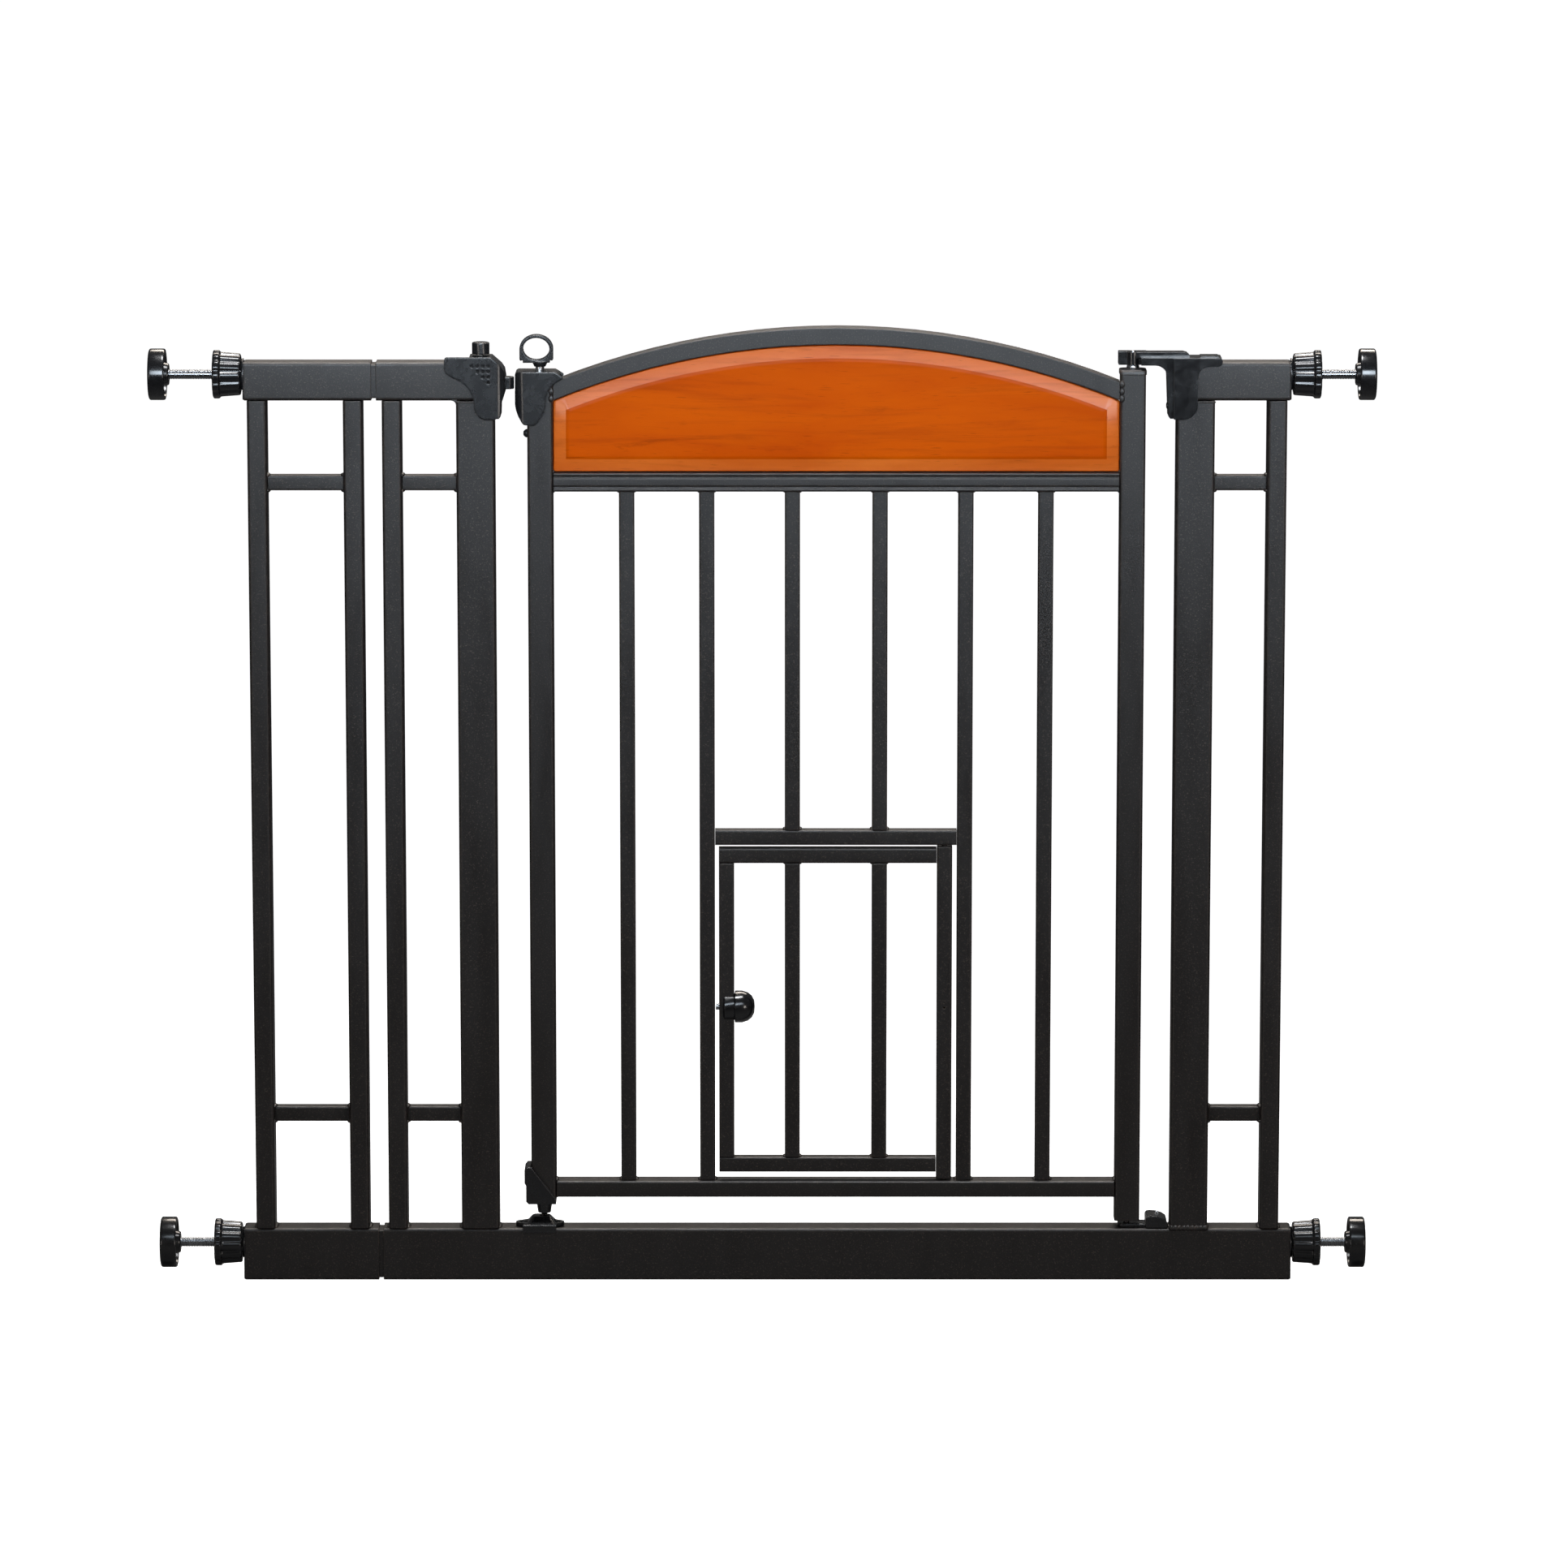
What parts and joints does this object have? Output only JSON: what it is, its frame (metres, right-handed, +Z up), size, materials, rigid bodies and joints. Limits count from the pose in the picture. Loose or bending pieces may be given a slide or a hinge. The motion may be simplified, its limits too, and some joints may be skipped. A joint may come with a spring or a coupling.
{
  "type": "pet gate",
  "caption": "Pressure-mounted pet gate: steel tube frame, arched swing gate with a wood panel, small pet door, push-button latch, pull-ring foot pin and screw-out wall pads.",
  "frame": {"origin": "centre of the whole gate's footprint on the floor, midway between the left and right wall feet", "axes": "+X across the doorway towards the gate's hinge side, +Y away from the side with the covers' front faces, +Z up"},
  "size_m": [0.96, 0.0404, 0.762],
  "materials": {
    "powder_coat": "satin powder coat with a fine speckle",
    "stained_wood": "satin orange-brown stain",
    "satin_plastic": "satin black",
    "gloss_plastic": "gloss black",
    "zinc": "bright zinc"
  },
  "bodies": {
    "frame": {"base_rail": "powder_coat", "left_top_rail": "powder_coat", "right_top_rail": "powder_coat", "latch_post": "powder_coat", "hinge_post": "powder_coat", "left_post": "powder_coat", "right_post": "powder_coat", "left_rung_upper": "powder_coat", "left_rung_lower": "powder_coat", "right_rung_upper": "powder_coat", "right_rung_lower": "powder_coat", "extension_base_rail": "powder_coat", "extension_top_rail": "powder_coat", "extension_outer_post": "powder_coat", "extension_inner_post": "powder_coat", "extension_rung_upper": "powder_coat", "extension_rung_lower": "powder_coat", "latch_housing": "satin_plastic", "hinge_bracket": "satin_plastic", "latch_floor_plate": "satin_plastic", "hinge_floor_plate": "satin_plastic"},
    "gate": {"latch_stile": "powder_coat", "hinge_stile": "powder_coat", "arch_rail": "powder_coat", "wood_panel": "stained_wood", "panel_rail": "powder_coat", "gate_bottom_rail": "powder_coat", "cross_rail": "powder_coat", "bar_outer_left": "powder_coat", "bar_outer_right": "powder_coat", "bar_middle_left": "powder_coat", "bar_middle_right": "powder_coat", "bar_inner_left": "powder_coat", "bar_inner_right": "powder_coat", "strike_housing": "satin_plastic", "stile_boot": "satin_plastic"},
    "pet_door": {"door_latch_stile": "powder_coat", "door_hinge_stile": "powder_coat", "door_top_rail": "powder_coat", "door_bottom_rail": "powder_coat", "door_bar_left": "powder_coat", "door_bar_right": "powder_coat"},
    "latch_button": {"latch_button": "gloss_plastic"},
    "latch_bolt": {"latch_bolt": "satin_plastic"},
    "lift_lock": {"pull_ring": "satin_plastic", "lift_rod": "zinc"},
    "door_latch": {"door_knob": "gloss_plastic", "door_bolt": "zinc"},
    "left_top_nut": {"left_top_nut": "gloss_plastic"},
    "left_top_screw": {"left_top_rod": "zinc", "left_top_pad": "gloss_plastic"},
    "left_base_nut": {"left_base_nut": "gloss_plastic"},
    "left_base_screw": {"left_base_rod": "zinc", "left_base_pad": "gloss_plastic"},
    "right_top_nut": {"right_top_nut": "gloss_plastic"},
    "right_top_screw": {"right_top_rod": "zinc", "right_top_pad": "gloss_plastic"},
    "right_base_nut": {"right_base_nut": "gloss_plastic"},
    "right_base_screw": {"right_base_rod": "zinc", "right_base_pad": "gloss_plastic"}
  },
  "joints": [
    {"name": "gate_swing", "type": "hinge", "parent": "frame", "child": "gate", "pos_m": [0.29, 0, 0], "axis": [0, 0, 1], "range_deg": [-90, 90]},
    {"name": "pet_door_swing", "type": "hinge", "parent": "gate", "child": "pet_door", "pos_m": [0.144, 0, 0], "axis": [0, 0, 1], "range_deg": [-90, 90]},
    {"name": "button_press", "type": "slide", "parent": "frame", "child": "latch_button", "axis": [0, 0, -1], "range_m": [0, 0.005], "stiffness_N_per_m": 600},
    {"name": "bolt_slide", "type": "slide", "parent": "frame", "child": "latch_bolt", "axis": [-1, 0, 0], "range_m": [0, 0.0055]},
    {"name": "ring_lift", "type": "slide", "parent": "gate", "child": "lift_lock", "axis": [0, 0, 1], "range_m": [0, 0.008], "stiffness_N_per_m": 300},
    {"name": "door_bolt_slide", "type": "slide", "parent": "pet_door", "child": "door_latch", "axis": [1, 0, 0], "range_m": [0, 0.005], "stiffness_N_per_m": 250},
    {"name": "left_top_nut_turn", "type": "hinge", "parent": "frame", "child": "left_top_nut", "pos_m": [-0.42, 0, 0.7245], "axis": [1, 0, 0], "range_deg": [-5040, 7200]},
    {"name": "left_top_screw_slide", "type": "slide", "parent": "frame", "child": "left_top_screw", "axis": [-1, 0, 0], "range_m": [-0.0176, 0.0251]},
    {"name": "left_base_nut_turn", "type": "hinge", "parent": "frame", "child": "left_base_nut", "pos_m": [-0.42, 0, 0.0285], "axis": [1, 0, 0], "range_deg": [-5040, 7200]},
    {"name": "left_base_screw_slide", "type": "slide", "parent": "frame", "child": "left_base_screw", "axis": [-1, 0, 0], "range_m": [-0.0176, 0.0251]},
    {"name": "right_top_nut_turn", "type": "hinge", "parent": "frame", "child": "right_top_nut", "pos_m": [0.42, 0, 0.7245], "axis": [-1, 0, 0], "range_deg": [-5040, 7200]},
    {"name": "right_top_screw_slide", "type": "slide", "parent": "frame", "child": "right_top_screw", "axis": [1, 0, 0], "range_m": [-0.0176, 0.0251]},
    {"name": "right_base_nut_turn", "type": "hinge", "parent": "frame", "child": "right_base_nut", "pos_m": [0.42, 0, 0.0285], "axis": [-1, 0, 0], "range_deg": [-5040, 7200]},
    {"name": "right_base_screw_slide", "type": "slide", "parent": "frame", "child": "right_base_screw", "axis": [1, 0, 0], "range_m": [-0.0176, 0.0251]}
  ],
  "couplings": [
    {"joint": "bolt_slide", "follows": "button_press", "ratio": 1.1},
    {"joint": "left_top_screw_slide", "follows": "left_top_nut_turn", "m_per_rad": 0.00019894},
    {"joint": "left_base_screw_slide", "follows": "left_base_nut_turn", "m_per_rad": 0.00019894},
    {"joint": "right_top_screw_slide", "follows": "right_top_nut_turn", "m_per_rad": 0.00019894},
    {"joint": "right_base_screw_slide", "follows": "right_base_nut_turn", "m_per_rad": 0.00019894}
  ]
}
